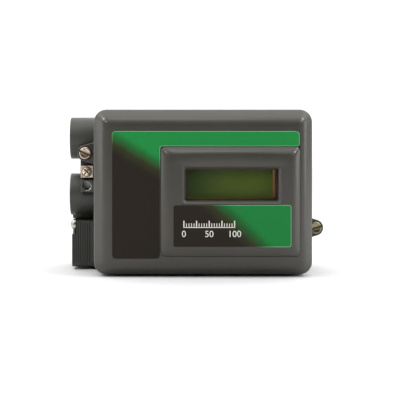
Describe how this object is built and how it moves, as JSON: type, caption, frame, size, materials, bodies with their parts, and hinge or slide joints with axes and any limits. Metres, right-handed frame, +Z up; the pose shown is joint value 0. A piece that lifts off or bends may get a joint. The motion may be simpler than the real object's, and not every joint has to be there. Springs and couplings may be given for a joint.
{
  "type": "valve positioner",
  "caption": "Valve positioner with a dark grey moulded cover, raised display panel, side conduit bosses and a port block, which sets actuator air pressure from a loop signal.",
  "frame": {"origin": "centre of the rear bolt pattern, on the back mounting face", "axes": "+X to the right seen from the front, +Y out of the back face, +Z up"},
  "size_m": [0.1878, 0.0975, 0.118],
  "materials": {
    "case_paint": "grey paint over cast aluminium",
    "port_paint": "grey paint over aluminium",
    "cover_plastic": "satin dark grey moulding",
    "label_green": "green fading to brown-black overlay",
    "label_panel": "brown-black fading to green overlay",
    "rubber": "black rubber",
    "window": "clear window",
    "lcd_glass": "blank olive display",
    "diffuser": "white diffuser",
    "display_frame": "bronze-tinted steel frame",
    "nickel_screw": "nickel-plated steel",
    "steel": "plated steel",
    "soft_iron": "soft iron",
    "brass": "turned brass",
    "circuit_board": "green solder mask",
    "black_plastic": "black moulding",
    "terminal_plastic": "green moulding",
    "light_plastic": "light moulding",
    "ribbon": "grey flat cable",
    "bare_aluminium": "machined aluminium",
    "coil_wire": "enamelled copper winding"
  },
  "bodies": {
    "case": {"housing": "case_paint", "port_block": "port_paint", "port_gasket": "rubber", "port_screws": "steel", "supply_screen": "brass", "earth_clamp": "steel", "terminal_block": "terminal_plastic", "terminal_screws": "steel", "inner_earth_screw": "steel", "main_board": "circuit_board", "board_standoffs": "brass", "board_chips": "black_plastic", "ribbon_cable": "ribbon", "ribbon_connectors": "diffuser", "display_standoffs": "brass", "display_board": "circuit_board", "display_screws": "steel", "lcd_frame": "display_frame", "lcd_glass": "lcd_glass", "lcd_backlight": "diffuser", "switch_bodies": "black_plastic", "mode_switch": "black_plastic", "ip_gasket": "rubber", "ip_base": "bare_aluminium", "ip_yoke": "soft_iron", "ip_coil": "coil_wire", "ip_pin": "steel", "ip_nozzle": "brass", "ip_screws": "steel", "relay_gasket": "rubber", "relay_base": "bare_aluminium", "lower_diaphragm": "rubber", "relay_spacer": "bare_aluminium", "upper_diaphragm": "rubber", "relay_cap": "black_plastic", "relay_spring": "steel", "relay_screws": "steel", "pressure_sensor": "steel", "pole_pieces": "soft_iron", "position_sensor": "black_plastic", "vent": "black_plastic"},
    "cover": {"front_cover": "cover_plastic", "cover_gasket": "rubber", "front_label": "label_green", "display_label": "label_panel", "display_window": "window", "window_seal": "rubber"},
    "cover_screw_left": {"cover_screw_left": "nickel_screw", "screw_clip_left": "steel"},
    "cover_screw_right": {"cover_screw_right": "nickel_screw", "screw_clip_right": "steel"},
    "button_one": {"button_one": "light_plastic"},
    "button_two": {"button_two": "light_plastic"},
    "button_three": {"button_three": "light_plastic"},
    "button_four": {"button_four": "light_plastic"},
    "mode_slider": {"mode_slider": "light_plastic"},
    "flapper": {"ip_flapper": "steel"},
    "relay_valve": {"relay_stem": "brass", "relay_poppet": "brass"},
    "earth_screw": {"earth_screw": "steel"}
  },
  "joints": [
    {"name": "cover_lift", "type": "slide", "parent": "case", "child": "cover", "axis": [0, -1, 0], "range_m": [0, 0.09]},
    {"name": "cover_screw_left_turn", "type": "hinge", "parent": "cover", "child": "cover_screw_left", "pos_m": [-0.0846, -0.057, 0.0274], "axis": [0, -1, 0], "continuous": true},
    {"name": "cover_screw_right_turn", "type": "hinge", "parent": "cover", "child": "cover_screw_right", "pos_m": [0.0846, -0.057, -0.0274], "axis": [0, -1, 0], "continuous": true},
    {"name": "button_one_press", "type": "slide", "parent": "case", "child": "button_one", "axis": [0, 1, 0], "range_m": [0, 0.0009], "stiffness_N_per_m": 400},
    {"name": "button_two_press", "type": "slide", "parent": "case", "child": "button_two", "axis": [0, 1, 0], "range_m": [0, 0.0009], "stiffness_N_per_m": 400},
    {"name": "button_three_press", "type": "slide", "parent": "case", "child": "button_three", "axis": [0, 1, 0], "range_m": [0, 0.0009], "stiffness_N_per_m": 400},
    {"name": "button_four_press", "type": "slide", "parent": "case", "child": "button_four", "axis": [0, 1, 0], "range_m": [0, 0.0009], "stiffness_N_per_m": 400},
    {"name": "mode_switch_slide", "type": "slide", "parent": "case", "child": "mode_slider", "axis": [1, 0, 0], "range_m": [0, 0.003]},
    {"name": "flapper_tilt", "type": "hinge", "parent": "case", "child": "flapper", "pos_m": [-0.038, -0.0494, 0.024], "axis": [1, 0, 0], "range_deg": [-1, 1]},
    {"name": "relay_valve_travel", "type": "slide", "parent": "case", "child": "relay_valve", "axis": [0, 1, 0], "range_m": [0, 0.0005], "stiffness_N_per_m": 2000, "deforming": ["relay_spring", "lower_diaphragm", "upper_diaphragm"]},
    {"name": "earth_screw_turn", "type": "hinge", "parent": "case", "child": "earth_screw", "pos_m": [-0.084, -0.049, 0.0137], "axis": [0, -1, 0], "continuous": true}
  ]
}
